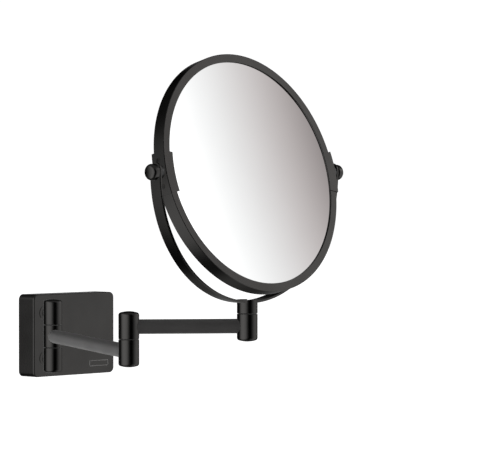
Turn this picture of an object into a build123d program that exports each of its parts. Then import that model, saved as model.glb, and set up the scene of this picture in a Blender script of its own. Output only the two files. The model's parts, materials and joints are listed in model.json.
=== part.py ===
from build123d import *
import os
from math import cos, radians, sin, sqrt

# Extendable shaving mirror: a round two-sided mirror, tilting in a half-round yoke, on two arms that
# swing from a wall plate. Millimetres. The wall is the plane y = 0 and +Z is up. -Y points out of the
# wall, into the room, and +X is to the right for somebody who faces the wall. The origin is the centre
# of the wall plate's back face.

# ---------------------------------------------------------------- driving dimensions
# Wall plate
PLATE_W, PLATE_H, PLATE_D = 100.0, 74.0, 20.0    # outside of the cover
PLATE_CORNER_R = 5.0                             # its four corners, seen from the front
PLATE_EDGE_R = 1.2                               # the rounding around its front face
COVER_SIDE_T, COVER_FRONT_T = 2.5, 3.0           # wall thicknesses of the cast cover
BRACKET_W, BRACKET_T = 88.0, 2.5                 # steel plate that is screwed to the wall
LIP_W, LIP_D = 70.0, 10.0                        # its bent lips, top and bottom
TAB_X, TAB_HALF_W, TAB_Y, TAB_T = 20.0, 4.0, -7.0, 3.0   # snap tabs under the cover's top wall
GRUB_R, GRUB_HEX_R, GRUB_SUNK = 2.0, 1.15, 0.3   # grub screw, its socket, and how deep it sits
FIT_GAP = 0.3                                    # clearance of the cover over the bracket
WALL_HOLE_R, WALL_HOLE_PITCH = 2.75, 60.0        # two holes for the wall screws, side by side
BADGE_W, BADGE_H, BADGE_T = 23.6, 5.2, 0.4       # blank badge on the front face
BADGE_X, BADGE_Z = 30.5, -27.5
BADGE_CORNER_R, BADGE_BORDER = 0.8, 0.4

# Hinges: every knuckle is a barrel about a vertical pin
KNUCKLE_R = 8.5
ARM_PITCH = 20.4               # height of a middle knuckle, and of the upper arm above the lower
SEAM = 0.4                     # gap between two knuckles, for a friction washer
SEAM_CHAMFER = 0.3
END_SIDE = 21.3                # end knuckle: from the seam's middle to the foot of the dome
END_DOME, END_EDGE_R = 1.6, 1.4
PIN_R, RUN_GAP = 3.0, 0.05     # hinge pin, and its radial running clearance
BUSH_R = 4.0                   # outside of a hinge bush
CHAMBER_R = 5.0                # chamber for the nut and springs, opened from the end
CHAMBER_Z = 14.0               # its floor, below the seam
CAP_Z = 20.6                   # inner face of the cap that closes it
PIN_TOP = 14.0                 # how far a pin reaches into the knuckle that holds it
PIN_EDGE, PIN_FOOT_GAP = 0.4, 0.6                # pin's end chamfer, and its foot's gap to the cap
SPRING_R, SPRING_T, SPRING_RISE = 4.7, 0.55, 0.4 # disc springs, two to a hinge
SPRING_GAP, NUT_GAP = 0.05, 0.2                  # between the springs, and from them to the nut
NUT_FLATS, NUT_T = 8.0, 3.6
WALL_BUSH_L = 9.0              # each of the two bushes in the post's middle knuckle
WASHER_EDGE, WASHER_SLACK = 1.0, 0.1             # friction washer: smaller and thinner than its seam

# Post: the fixed pair of knuckles beside the plate
POST_X, POST_GAP = -36.7, 2.2
STANDOFF_R, COLLAR_R, COLLAR_T = 4.25, 6.8, 0.6
STANDOFF_BOLT_R, STANDOFF_SPIGOT_R = 3.0, 2.5
STANDOFF_WASHER_R, STANDOFF_WASHER_T = 6.0, 1.0
STANDOFF_NUT_FLATS, STANDOFF_NUT_T, THREAD_BEYOND = 10.0, 4.6, 0.6

# Arms, as they stand at rest: directions are turned from +X about +Z
ROD_R, SPIGOT_R, SPIGOT_REACH = 6.0, 4.0, 5.4
LOWER_ARM_L, LOWER_ARM_DEG = 246.0, -118.6
UPPER_ARM_L, UPPER_ARM_DEG = 97.0, -40.4

# Yoke
PIVOT_Z = 146.0                # height of the tilting axis above the plate's centre
YOKE_R, YOKE_W, YOKE_T = 106.8, 11.5, 2.0
YOKE_END = 2.0                 # straight stretch above the axis, before the round end
YOKE_LUG = 1.0                 # how far the yoke's knuckle stands above the strip
HEAD_PIN_R, HEAD_PIN_T, HEAD_PIN_SUNK = 4.6, 1.6, 0.15   # countersunk head of the pin that holds it
SLOT_HALF_W, SLOT_D = 0.6, 0.8                   # screwdriver slot in that head
PIVOT_BUSH_R, BUSH_FLANGE_R, BUSH_FLANGE_T = 3.9, 5.2, 0.5

# Mirror
MIRROR_R, MIRROR_D, BEZEL = 100.0, 11.8, 6.8     # rim: outer radius, depth and front width
RIM_T, BEZEL_T, RIM_EDGE_R = 1.5, 1.0, 0.4
RIM_JOINT = 0.3                # gap between the rim's two halves
MIRROR_DROP = 1.2              # its centre hangs this far below the tilting axis, so that it is steady
TILT_DEG = 14.6                # the top leans back by this much at rest
GLASS_R, GLASS_T, GLASS_SAG = 95.4, 2.0, 3.2
FOAM_IN, FOAM_EDGE, FOAM_FRONT = 82.0, 0.4, 1.25 # foam ring: bore, gaps to the rim and the front glass
CLIP_T, CLIP_HALF_DEG, CLIP_LAP, CLIP_EDGE_R = 1.3, 10.0, 1.8, 0.5
CLIP_SCREW_DEG, CLIP_SCREW_R, CLIP_HEAD_R = 6.0, 1.25, 2.1
CLIP_HEAD_SUNK, CLIP_HEAD_PROUD = 0.4, 0.5
CROSS_HALF_L, CROSS_HALF_W, CROSS_D = 1.3, 0.25, 0.5     # cross slot in a clip screw
NUT_PLATE_HALF_DEG, NUT_PLATE_GAP = 9.0, 0.3
PIVOT_WASHER_R = 5.5
HOLE_GAP = 0.1                 # radial clearance of a hole around its screw
THREAD_R, SHOULDER_R = 2.0, 3.0                  # pivot screw
KNOB_R, KNOB_T, KNOB_DOME, KNOB_EDGE_R = 6.6, 5.6, 1.0, 1.6

# ---------------------------------------------------------------- worked out from them
POST_Y = -(PLATE_D + POST_GAP + KNUCKLE_R)
HALF_PITCH = ARM_PITCH / 2
END_H = END_SIDE + END_DOME                      # seam's middle to the tip of the dome
POST = Vector(POST_X, POST_Y, 0)


def along(start, length, degrees):
    """The point that lies a given length from start, in a direction turned from +X about +Z."""
    return start + Vector(length * cos(radians(degrees)), length * sin(radians(degrees)), 0)


ELBOW = along(POST, LOWER_ARM_L, LOWER_ARM_DEG)
HEAD = along(ELBOW, UPPER_ARM_L, UPPER_ARM_DEG)
ELBOW_SEAM = HALF_PITCH                          # heights of the seams that the pins cross
WALL_SEAM = -HALF_PITCH
HEAD_SEAM = ARM_PITCH + HALF_PITCH
YOKE_IN = YOKE_R - YOKE_T
RIM_IN = MIRROR_R - BEZEL
CLIP_R = MIRROR_R + CLIP_T
TILT_AXIS = Pos(0, 0, MIRROR_DROP)               # seen from the mirror's own centre

parts = {}


# ---------------------------------------------------------------- simple solids
def cyl_x(radius, x0, x1):
    """A round bar along X."""
    return Pos((x0 + x1) / 2, 0, 0) * Rot(0, 90, 0) * Cylinder(radius, x1 - x0)


def cyl_y(radius, y0, y1):
    """A round bar along Y."""
    return Pos(0, (y0 + y1) / 2, 0) * Rot(90, 0, 0) * Cylinder(radius, y1 - y0)


def cyl_z(radius, z0, z1):
    """A round bar along Z."""
    return Pos(0, 0, (z0 + z1) / 2) * Cylinder(radius, z1 - z0)


def block(x0, x1, y0, y1, z0, z1):
    """A box between two corners."""
    return Pos((x0 + x1) / 2, (y0 + y1) / 2, (z0 + z1) / 2) * Box(x1 - x0, y1 - y0, z1 - z0)


def hexagon(flats, z0, z1, hole_r):
    """A hexagon nut about Z."""
    blank = extrude(RegularPolygon(flats / sqrt(3), 6), z1 - z0)
    return Pos(0, 0, z0) * blank - cyl_z(hole_r, z0 - 1, z1 + 1)


def group(*solids):
    """Like pieces that share one node, as separate solids."""
    return Compound(children=[piece for solid in solids for piece in solid.solids()])


def round_edges(shape):
    """The full circles among a shape's edges, lowest first."""
    return shape.edges().filter_by(GeomType.CIRCLE).filter_by(lambda edge: edge.is_closed).sort_by(Axis.Z)


def dome_arc(radius, foot, rise):
    """The arc from the edge of a shallow dome, at its foot, to its tip on the axis."""
    sphere = (radius**2 + rise**2) / (2 * rise)
    half = radius / 2
    middle = foot + rise - sphere + sqrt(sphere**2 - half**2)
    return ThreePointArc((radius, foot), (half, middle), (0, foot + rise))


def domed_bar(radius, foot, rise, edge_r, chamfer_by=0.0):
    """A bar standing on z = 0, with a shallow dome on top and a rounded edge around the dome."""
    outline = Polyline((0, foot + rise), (0, 0), (radius, 0), (radius, foot)) + dome_arc(radius, foot, rise)
    bar = revolve(Plane.XZ * make_face(outline), Axis.Z)
    bar = fillet(round_edges(bar)[-1], edge_r)
    return chamfer(round_edges(bar)[0], chamfer_by) if chamfer_by else bar


# ---------------------------------------------------------------- hinge pieces
def end_knuckle(seam, up):
    """A knuckle with its seam face just clear of the given height and its dome above or below it."""
    half_gap = SEAM / 2
    blank = domed_bar(KNUCKLE_R, END_SIDE - half_gap, END_DOME, END_EDGE_R, SEAM_CHAMFER)
    return Pos(0, 0, seam + half_gap) * blank if up else Pos(0, 0, seam - half_gap) * Rot(180, 0, 0) * blank


def middle_knuckle():
    """The knuckle between the post's two, with both edges chamfered."""
    half = HALF_PITCH - SEAM / 2
    return chamfer(round_edges(cyl_z(KNUCKLE_R, -half, half)), SEAM_CHAMFER)


def nut_chamber(seam, bore_r):
    """What is cut from the knuckle below a seam: the bore, then the chamber for the nut."""
    floor = seam - CHAMBER_Z
    return cyl_z(bore_r, floor - 1, seam) + cyl_z(CHAMBER_R, seam - END_H - 1, floor)


def end_cap(seam):
    """The cap that closes the chamber. Its outside carries on the knuckle's dome."""
    return end_knuckle(seam, up=False) & cyl_z(CHAMBER_R, seam - END_H - 1, seam - CAP_Z)


def hinge_pin(seam, top):
    """Headless pin: held in the upper knuckle, threaded for the nut at its lower end."""
    return chamfer(round_edges(cyl_z(PIN_R, seam - CAP_Z + PIN_FOOT_GAP, top)), PIN_EDGE)


def spring_washers(seam):
    """Two disc springs, wide ends together, between the chamber's floor and the nut."""
    bore, disc = PIN_R + 0.2, SPRING_RISE + SPRING_T
    cone = Polyline((bore, 0), (SPRING_R, -SPRING_RISE), (SPRING_R, -disc), (bore, -SPRING_T), (bore, 0))
    upper = revolve(Plane.XZ * make_face(cone), Axis.Z)
    lower = Pos(0, 0, -2 * disc - SPRING_GAP) * Rot(180, 0, 0) * upper
    chamber = Pos(0, 0, seam - CHAMBER_Z)
    return group(chamber * upper, chamber * lower)


def friction_washer(bottom):
    """Thin washer in a seam. It is a little thinner than the seam, and lies on its lower side."""
    disc = cyl_z(KNUCKLE_R - WASHER_EDGE, bottom, bottom + SEAM - WASHER_SLACK)
    return disc - cyl_z(PIN_R + 0.15, bottom - 1, bottom + 1)


def bush(z0, z1):
    """Plain bush, pressed into a knuckle, in which the pin turns."""
    return cyl_z(BUSH_R, z0, z1) - cyl_z(PIN_R + RUN_GAP, z0 - 1, z1 + 1)


def nut(seam):
    """Hexagon nut that sets the hinge's friction."""
    springs = 2 * (SPRING_RISE + SPRING_T) + SPRING_GAP
    top = seam - CHAMBER_Z - springs - NUT_GAP
    return hexagon(NUT_FLATS, top - NUT_T, top, PIN_R)


def spigot_hole(z, degrees):
    """Hole in a knuckle's wall for the end of a rod that leaves it in the given direction."""
    return Pos(0, 0, z) * Rot(0, 0, degrees) * cyl_x(SPIGOT_R, SPIGOT_REACH, KNUCKLE_R + 1)


def arm_rod(length):
    """Round bar between two knuckle axes: coped to fit against them, with a spigot in each."""
    far = Pos(length, 0, 0)
    barrel = cyl_z(KNUCKLE_R, -ROD_R - 1, ROD_R + 1)
    bar = cyl_x(ROD_R, 0, length) - barrel - far * barrel
    return bar + cyl_x(SPIGOT_R, SPIGOT_REACH, length - SPIGOT_REACH)


def place(names, point):
    """Moves pieces that were made about a hinge's axis out to where the axis stands."""
    for name in names:
        parts[name] = Pos(point.X, point.Y, 0) * parts[name]


# ---------------------------------------------------------------- wall plate
def wall_plate():
    """Cast cover over a steel bracket, with the grub screw that joins them and a blank badge."""
    w, h = PLATE_W / 2, PLATE_H / 2
    inner_w, inner_h = w - COVER_SIDE_T, h - COVER_SIDE_T
    face = Plane.XZ * RectangleRounded(PLATE_W, PLATE_H, PLATE_CORNER_R)
    shell = extrude(face, PLATE_D)
    shell = fillet(shell.faces().sort_by(Axis.Y)[0].edges(), PLATE_EDGE_R)
    hollow = Plane.XZ * RectangleRounded(2 * inner_w, 2 * inner_h, PLATE_CORNER_R - COVER_SIDE_T)
    shell -= extrude(hollow, PLATE_D - COVER_FRONT_T)

    lip_out = inner_h - FIT_GAP
    lip_in = lip_out - BRACKET_T
    bracket = block(-BRACKET_W / 2, BRACKET_W / 2, -BRACKET_T, 0, -lip_out, lip_out)
    for low, high in ((-lip_out, -lip_in), (lip_in, lip_out)):
        bracket += block(-LIP_W / 2, LIP_W / 2, -LIP_D, 0, low, high)
    y0, y1 = TAB_Y - TAB_T / 2, TAB_Y + TAB_T / 2
    for side in (-1, 1):
        bracket -= Pos(side * WALL_HOLE_PITCH / 2, 0, 0) * cyl_y(WALL_HOLE_R, -BRACKET_T - 1, 1)
        # snap tab under the cover's top wall, and its window in the upper lip
        x0, x1 = side * TAB_X - TAB_HALF_W, side * TAB_X + TAB_HALF_W
        shell += block(x0, x1, y0, y1, lip_in + 1.0, inner_h + 0.5)
        bracket -= block(x0 - 0.5, x1 + 0.5, y0 - 0.5, y1 + 0.5, lip_in - 1, lip_out + 1)

    # grub screw, up through the cover's lower wall into the lower lip
    foot, tip = -h + GRUB_SUNK, -lip_in + 0.5
    at_screw = Pos(0, -LIP_D / 2 - 1, 0)
    thread = at_screw * cyl_z(GRUB_R, -h - 1, tip)
    shell -= thread
    bracket -= thread
    socket = Pos(0, 0, foot) * extrude(RegularPolygon(GRUB_HEX_R, 6), 2)
    parts["cover_grub_screw"] = at_screw * (cyl_z(GRUB_R, foot, tip) - socket)

    # blank badge, let into the front face
    at_badge = Pos(BADGE_X, -PLATE_D, BADGE_Z)
    outline = RectangleRounded(BADGE_W, BADGE_H, BADGE_CORNER_R)
    inner = RectangleRounded(BADGE_W - 2 * BADGE_BORDER, BADGE_H - 2 * BADGE_BORDER, BADGE_CORNER_R - 0.2)
    recess = at_badge * extrude(Plane.XZ * outline, -BADGE_T / 2)
    shell -= recess
    parts["blank_badge"] = recess + at_badge * extrude(Plane.XZ * inner, BADGE_T / 2)

    for z in (-ARM_PITCH, ARM_PITCH):
        shell -= Pos(POST_X, 0, z) * cyl_y(STANDOFF_BOLT_R, -PLATE_D - 1, 0)
    parts["wall_cover"] = shell
    parts["mounting_plate"] = bracket


def standoffs():
    """Two turned studs that carry the post, each with a washer and a nut inside the cover."""
    inside = -PLATE_D + COVER_FRONT_T
    washer_top = inside + STANDOFF_WASHER_T
    nut_top = washer_top + STANDOFF_NUT_T
    barrel = Pos(0, POST_Y, 0) * cyl_z(KNUCKLE_R, -STANDOFF_R - 1, STANDOFF_R + 1)
    stud = cyl_y(STANDOFF_R, POST_Y, -PLATE_D) + cyl_y(COLLAR_R, -PLATE_D - COLLAR_T, -PLATE_D) - barrel
    stud += cyl_y(STANDOFF_SPIGOT_R, POST_Y + SPIGOT_REACH, -PLATE_D)
    stud += cyl_y(STANDOFF_BOLT_R, -PLATE_D, nut_top + THREAD_BEYOND)
    washer = cyl_y(STANDOFF_WASHER_R, inside, washer_top) - cyl_y(STANDOFF_BOLT_R + HOLE_GAP, -PLATE_D, 0)
    fastener = hexagon(STANDOFF_NUT_FLATS, 0, STANDOFF_NUT_T, STANDOFF_BOLT_R)
    fastener = Pos(0, nut_top, 0) * Rot(90, 0, 0) * fastener
    low, high = Pos(POST_X, 0, -ARM_PITCH), Pos(POST_X, 0, ARM_PITCH)
    parts["lower_standoff"] = low * stud
    parts["upper_standoff"] = high * stud
    parts["standoff_washers"] = group(low * washer, high * washer)
    parts["standoff_nuts"] = group(low * fastener, high * fastener)


def post():
    """The fixed knuckles of the wall hinge, above and below the lower arm's own, and their pin."""
    stud_hole = cyl_y(STANDOFF_SPIGOT_R, SPIGOT_REACH, KNUCKLE_R + 1)
    top_seam, pin_top = -WALL_SEAM, -WALL_SEAM + PIN_TOP
    upper = end_knuckle(top_seam, up=True) - cyl_z(PIN_R, top_seam - 1, pin_top)
    lower = end_knuckle(WALL_SEAM, up=False) - nut_chamber(WALL_SEAM, PIN_R)
    parts["upper_fixed_knuckle"] = upper - Pos(0, 0, ARM_PITCH) * stud_hole
    parts["lower_fixed_knuckle"] = lower - Pos(0, 0, -ARM_PITCH) * stud_hole
    parts["wall_hinge_pin"] = hinge_pin(WALL_SEAM, pin_top)
    parts["wall_hinge_nut"] = nut(WALL_SEAM)
    parts["wall_hinge_springs"] = spring_washers(WALL_SEAM)
    parts["wall_hinge_cap"] = end_cap(WALL_SEAM)
    upper_washer = friction_washer(top_seam - SEAM / 2 + WASHER_SLACK)
    parts["wall_friction_washers"] = group(friction_washer(WALL_SEAM - SEAM / 2), upper_washer)
    place(("upper_fixed_knuckle", "lower_fixed_knuckle", "wall_hinge_pin", "wall_hinge_nut",
           "wall_hinge_springs", "wall_hinge_cap", "wall_friction_washers"), POST)


# ---------------------------------------------------------------- arms
def lower_arm():
    """Middle knuckle of the wall hinge, the long rod and the lower knuckle of the elbow."""
    back = LOWER_ARM_DEG + 180
    half = HALF_PITCH - SEAM / 2
    parts["lower_arm_knuckle"] = (middle_knuckle() - cyl_z(BUSH_R, -half - 1, half + 1)
                                  - spigot_hole(0, LOWER_ARM_DEG))
    parts["wall_hinge_bushes"] = group(bush(-half, WALL_BUSH_L - half), bush(half - WALL_BUSH_L, half))
    parts["lower_arm_rod"] = Rot(0, 0, LOWER_ARM_DEG) * arm_rod(LOWER_ARM_L)
    place(("lower_arm_knuckle", "wall_hinge_bushes", "lower_arm_rod"), POST)

    seam = ELBOW_SEAM
    parts["elbow_lower_knuckle"] = (end_knuckle(seam, up=False) - nut_chamber(seam, BUSH_R)
                                    - spigot_hole(0, back))
    parts["elbow_hinge_bush"] = bush(seam - CHAMBER_Z, seam - SEAM / 2)
    parts["elbow_hinge_springs"] = spring_washers(seam)
    parts["elbow_hinge_cap"] = end_cap(seam)
    parts["elbow_friction_washer"] = friction_washer(seam - SEAM / 2)
    place(("elbow_lower_knuckle", "elbow_hinge_bush", "elbow_hinge_springs", "elbow_hinge_cap",
           "elbow_friction_washer"), ELBOW)


def upper_arm():
    """Upper knuckle of the elbow with its pin, the short rod and the lower knuckle of the head."""
    back = UPPER_ARM_DEG + 180
    seam = ELBOW_SEAM
    parts["elbow_upper_knuckle"] = (end_knuckle(seam, up=True) - cyl_z(PIN_R, seam - 1, seam + PIN_TOP)
                                    - spigot_hole(ARM_PITCH, UPPER_ARM_DEG))
    parts["elbow_hinge_pin"] = hinge_pin(seam, seam + PIN_TOP)
    parts["elbow_hinge_nut"] = nut(seam)
    parts["upper_arm_rod"] = Pos(0, 0, ARM_PITCH) * Rot(0, 0, UPPER_ARM_DEG) * arm_rod(UPPER_ARM_L)
    place(("elbow_upper_knuckle", "elbow_hinge_pin", "elbow_hinge_nut", "upper_arm_rod"), ELBOW)

    seam = HEAD_SEAM
    parts["head_lower_knuckle"] = (end_knuckle(seam, up=False) - nut_chamber(seam, BUSH_R)
                                   - spigot_hole(ARM_PITCH, back))
    parts["head_hinge_bush"] = bush(seam - CHAMBER_Z, seam - SEAM / 2)
    parts["head_hinge_springs"] = spring_washers(seam)
    parts["head_hinge_cap"] = end_cap(seam)
    parts["head_friction_washer"] = friction_washer(seam - SEAM / 2)
    place(("head_lower_knuckle", "head_hinge_bush", "head_hinge_springs", "head_hinge_cap",
           "head_friction_washer"), HEAD)


# ---------------------------------------------------------------- yoke
def yoke():
    """Half-round strip on its own knuckle, held down by the countersunk head of the hinge pin."""
    half_w = YOKE_W / 2
    section = Plane.XY * Pos((YOKE_R + YOKE_IN) / 2, 0) * Rectangle(YOKE_T, YOKE_W)
    strip = revolve(section, Axis.Y, revolution_arc=180)
    for side in (-1, 1):
        x0, x1 = sorted((side * YOKE_IN, side * YOKE_R))
        strip += block(x0, x1, -half_w, half_w, 0, YOKE_END) + Pos(0, 0, YOKE_END) * cyl_x(half_w, x0, x1)
        strip -= cyl_x(PIVOT_BUSH_R, x0 - 1, x1 + 1)
    head_top = -YOKE_IN - HEAD_PIN_SUNK
    seat = Pos(0, 0, head_top - HEAD_PIN_T / 2) * Cone(PIN_R, HEAD_PIN_R, HEAD_PIN_T)
    strip -= seat + cyl_z(PIN_R, -YOKE_R - 1, head_top) + cyl_z(HEAD_PIN_R, head_top, head_top + 1)
    parts["yoke_strip"] = Pos(0, 0, PIVOT_Z) * strip

    seam, low = HEAD_SEAM, HEAD_SEAM + SEAM / 2
    top = PIVOT_Z - YOKE_IN + YOKE_LUG
    knuckle = chamfer(round_edges(cyl_z(KNUCKLE_R, low, top))[0], SEAM_CHAMFER)
    knuckle -= Pos(0, 0, PIVOT_Z) * cyl_y(YOKE_R, -half_w, half_w) + cyl_z(PIN_R, low - 1, top)
    parts["head_upper_knuckle"] = knuckle

    pin_foot, pin_head = seam - CAP_Z + PIN_FOOT_GAP, PIVOT_Z + head_top
    pin = cyl_z(PIN_R, pin_foot, pin_head - HEAD_PIN_T) + Pos(0, 0, PIVOT_Z) * seat
    pin -= block(-HEAD_PIN_R, HEAD_PIN_R, -SLOT_HALF_W, SLOT_HALF_W, pin_head - SLOT_D, pin_head + 1)
    parts["head_hinge_pin"] = pin
    parts["head_hinge_nut"] = nut(seam)
    for side, name in ((0, "right_pivot_bush"), (180, "left_pivot_bush")):
        sleeve = cyl_x(PIVOT_BUSH_R, YOKE_IN, YOKE_R) + cyl_x(BUSH_FLANGE_R, YOKE_R, YOKE_R + BUSH_FLANGE_T)
        sleeve -= cyl_x(SHOULDER_R + RUN_GAP, YOKE_IN - 1, YOKE_R + 2)
        parts[name] = Pos(0, 0, PIVOT_Z) * Rot(0, 0, side) * sleeve
    place(("yoke_strip", "head_upper_knuckle", "head_hinge_pin", "head_hinge_nut",
           "right_pivot_bush", "left_pivot_bush"), HEAD)


# ---------------------------------------------------------------- mirror, made about its own centre
def swept(outline, half_deg):
    """A section in the XY plane, carried around the mirror's axis to both sides of +X."""
    return Rot(0, half_deg, 0) * revolve(make_face(outline), Axis((0, 0, 0), (0, -1, 0)), 2 * half_deg)


def rim():
    """The channel-shaped rim, in two halves that meet at the pivots."""
    half, wall, lip = MIRROR_D / 2, MIRROR_R - RIM_T, MIRROR_D / 2 - BEZEL_T
    outline = Polyline((RIM_IN, -half), (MIRROR_R, -half), (MIRROR_R, half), (RIM_IN, half), (RIM_IN, lip),
                       (wall, lip), (wall, -lip), (RIM_IN, -lip), (RIM_IN, -half))
    section = make_face(outline)
    section = fillet([corner for corner in section.vertices() if corner.X > MIRROR_R - 0.1], RIM_EDGE_R)
    half_gap_deg = RIM_JOINT / 2 / radians(1) / MIRROR_R
    arc = revolve(section, Axis((0, 0, 0), (0, -1, 0)), 180 - 2 * half_gap_deg)
    holes = TILT_AXIS * cyl_x(THREAD_R + HOLE_GAP, -MIRROR_R - 1, MIRROR_R + 1)
    for degrees in (-CLIP_SCREW_DEG, CLIP_SCREW_DEG):
        holes += Rot(0, degrees, 0) * cyl_x(CLIP_SCREW_R + HOLE_GAP, -MIRROR_R - 1, MIRROR_R + 1)
    parts["upper_rim_half"] = Rot(0, -half_gap_deg, 0) * arc - holes
    parts["lower_rim_half"] = Rot(0, 180 - half_gap_deg, 0) * arc - holes


def glasses():
    """A concave magnifying glass in front, a flat one behind, and the foam ring that parts them."""
    front = -MIRROR_D / 2 + BEZEL_T
    sphere = (GLASS_R**2 + GLASS_SAG**2) / (2 * GLASS_SAG)
    middle = GLASS_SAG - sphere + sqrt(sphere**2 - (GLASS_R / 2)**2)
    near = ThreePointArc((0, front + GLASS_SAG), (GLASS_R / 2, front + middle), (GLASS_R, front))
    far = ThreePointArc((GLASS_R, front + GLASS_T), (GLASS_R / 2, front + middle + GLASS_T),
                        (0, front + GLASS_SAG + GLASS_T))
    outline = near + Line(near @ 1, far @ 0) + far + Line(far @ 1, near @ 0)
    parts["magnifying_glass"] = revolve(make_face(outline), Axis.Y)
    parts["plain_glass"] = cyl_y(GLASS_R, -front - GLASS_T, -front)
    pad = cyl_y(GLASS_R - FOAM_EDGE, front + GLASS_T + FOAM_FRONT, -front - GLASS_T)
    parts["foam_ring"] = pad - cyl_y(FOAM_IN, -MIRROR_D, MIRROR_D)


def pivots():
    """On each side: a clip around the rim's joint, its screws, a nut plate, a washer and a knob."""
    half, out = MIRROR_D / 2, MIRROR_D / 2 + CLIP_T
    lap, deep, far = RIM_IN - CLIP_LAP, RIM_IN - 2, YOKE_R + 2
    clip = swept(Polyline((lap, -out), (CLIP_R, -out), (CLIP_R, out), (lap, out), (lap, half),
                          (MIRROR_R, half), (MIRROR_R, -half), (lap, -half), (lap, -out)), CLIP_HALF_DEG)
    arcs = clip.edges().filter_by(GeomType.CIRCLE)
    clip = fillet(arcs.filter_by(lambda arc: abs(arc.radius - CLIP_R) < 0.01), CLIP_EDGE_R)
    clip -= TILT_AXIS * cyl_x(THREAD_R + HOLE_GAP, deep, far)
    wall, inner, channel = MIRROR_R - RIM_T, GLASS_R + NUT_PLATE_GAP, half - BEZEL_T - NUT_PLATE_GAP
    plate = swept(Polyline((inner, -channel), (wall, -channel), (wall, channel), (inner, channel),
                           (inner, -channel)), NUT_PLATE_HALF_DEG)
    plate -= TILT_AXIS * cyl_x(THREAD_R, deep, far)
    head_floor, head_top, tip = CLIP_R - CLIP_HEAD_SUNK, CLIP_R + CLIP_HEAD_PROUD, inner + 0.3
    slot_floor = head_top - CROSS_D
    screws = []
    for degrees in (-CLIP_SCREW_DEG, CLIP_SCREW_DEG):
        turn = Rot(0, degrees, 0)
        clip -= turn * cyl_x(CLIP_SCREW_R + HOLE_GAP, deep, far)
        clip -= turn * cyl_x(CLIP_HEAD_R + HOLE_GAP, head_floor, far)
        plate -= turn * cyl_x(CLIP_SCREW_R, deep, far)
        head = fillet(cyl_x(CLIP_HEAD_R, head_floor, head_top).edges().sort_by(Axis.X)[-1], 0.4)
        cross = block(slot_floor, far, -CROSS_HALF_L, CROSS_HALF_L, -CROSS_HALF_W, CROSS_HALF_W)
        cross += block(slot_floor, far, -CROSS_HALF_W, CROSS_HALF_W, -CROSS_HALF_L, CROSS_HALF_L)
        screws.append(turn * (head + cyl_x(CLIP_SCREW_R, tip, head_floor) - cross))

    washer = cyl_x(PIVOT_WASHER_R, MIRROR_R, YOKE_IN - 0.3) - cyl_x(SHOULDER_R, deep, far)
    washer = TILT_AXIS * washer - cyl_y(CLIP_R, -MIRROR_D, MIRROR_D)
    knob_x = YOKE_R + BUSH_FLANGE_T + 0.1
    knob = Pos(knob_x, 0, 0) * Rot(0, 90, 0) * domed_bar(KNOB_R, KNOB_T, KNOB_DOME, KNOB_EDGE_R)
    knob += cyl_x(SHOULDER_R, CLIP_R, knob_x + 1) + cyl_x(THREAD_R, tip, CLIP_R + 1)
    sides = {"clip": [clip], "nut_plate": [plate], "clip_screws": screws, "pivot_washer": [washer],
             "knob_screw": [TILT_AXIS * knob]}
    for name, solids in sides.items():
        parts["right_" + name] = group(*solids)
        parts["left_" + name] = group(*[mirror(solid, about=Plane.YZ) for solid in solids])


def mirror_head():
    """Everything that tilts, leant back and put between the yoke's ends."""
    before = set(parts)
    rim()
    glasses()
    pivots()
    centre = Pos(HEAD.X, HEAD.Y, PIVOT_Z) * Rot(-TILT_DEG, 0, 0) * Pos(0, 0, -MIRROR_DROP)
    for name in sorted(set(parts) - before):
        parts[name] = centre * parts[name]


def main():
    """Builds every piece and writes one STEP file for each."""
    wall_plate()
    standoffs()
    post()
    lower_arm()
    upper_arm()
    yoke()
    mirror_head()
    os.makedirs("parts", exist_ok=True)
    for name, shape in parts.items():
        export_step(shape, f"parts/{name}.step")
    print(len(parts), "nodes; elbow", ELBOW, "head", HEAD)


main()
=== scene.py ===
import json
from math import atan2, cos, pi, radians, sin, sqrt, tau

import bmesh
import bpy
import numpy as np
from mathutils import Matrix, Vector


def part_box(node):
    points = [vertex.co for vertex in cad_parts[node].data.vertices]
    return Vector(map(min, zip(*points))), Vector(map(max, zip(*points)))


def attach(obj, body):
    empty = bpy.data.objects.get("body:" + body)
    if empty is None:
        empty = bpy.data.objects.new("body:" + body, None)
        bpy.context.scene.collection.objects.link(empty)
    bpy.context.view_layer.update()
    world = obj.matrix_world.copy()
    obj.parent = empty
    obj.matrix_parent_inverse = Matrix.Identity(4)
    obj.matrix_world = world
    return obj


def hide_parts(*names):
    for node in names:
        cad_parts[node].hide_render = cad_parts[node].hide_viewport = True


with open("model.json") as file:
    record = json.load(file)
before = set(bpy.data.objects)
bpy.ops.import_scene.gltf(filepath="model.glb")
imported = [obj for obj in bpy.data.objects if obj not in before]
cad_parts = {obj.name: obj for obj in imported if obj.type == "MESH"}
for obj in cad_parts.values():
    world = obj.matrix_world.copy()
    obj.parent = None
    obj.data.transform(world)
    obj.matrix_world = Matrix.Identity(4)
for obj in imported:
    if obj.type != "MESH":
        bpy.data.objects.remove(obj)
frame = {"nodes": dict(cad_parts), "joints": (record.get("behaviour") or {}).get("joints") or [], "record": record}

# The looks of an extendable shaving mirror: coated metal, silvered glass and a plain studio around the
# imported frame. Metres, in the frame's own axes: the wall is the plane y = 0, -Y points into the room.

bl_info = {
    "name": "Extendable shaving mirror",
    "version": (1, 0, 0),
    "blender": (4, 5, 0),
    "location": "View3D > Sidebar > Shaving mirror",
    "description": "Builds the coated pieces, the glasses and the studio around the packed frame",
    "category": "Object",
}

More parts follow.
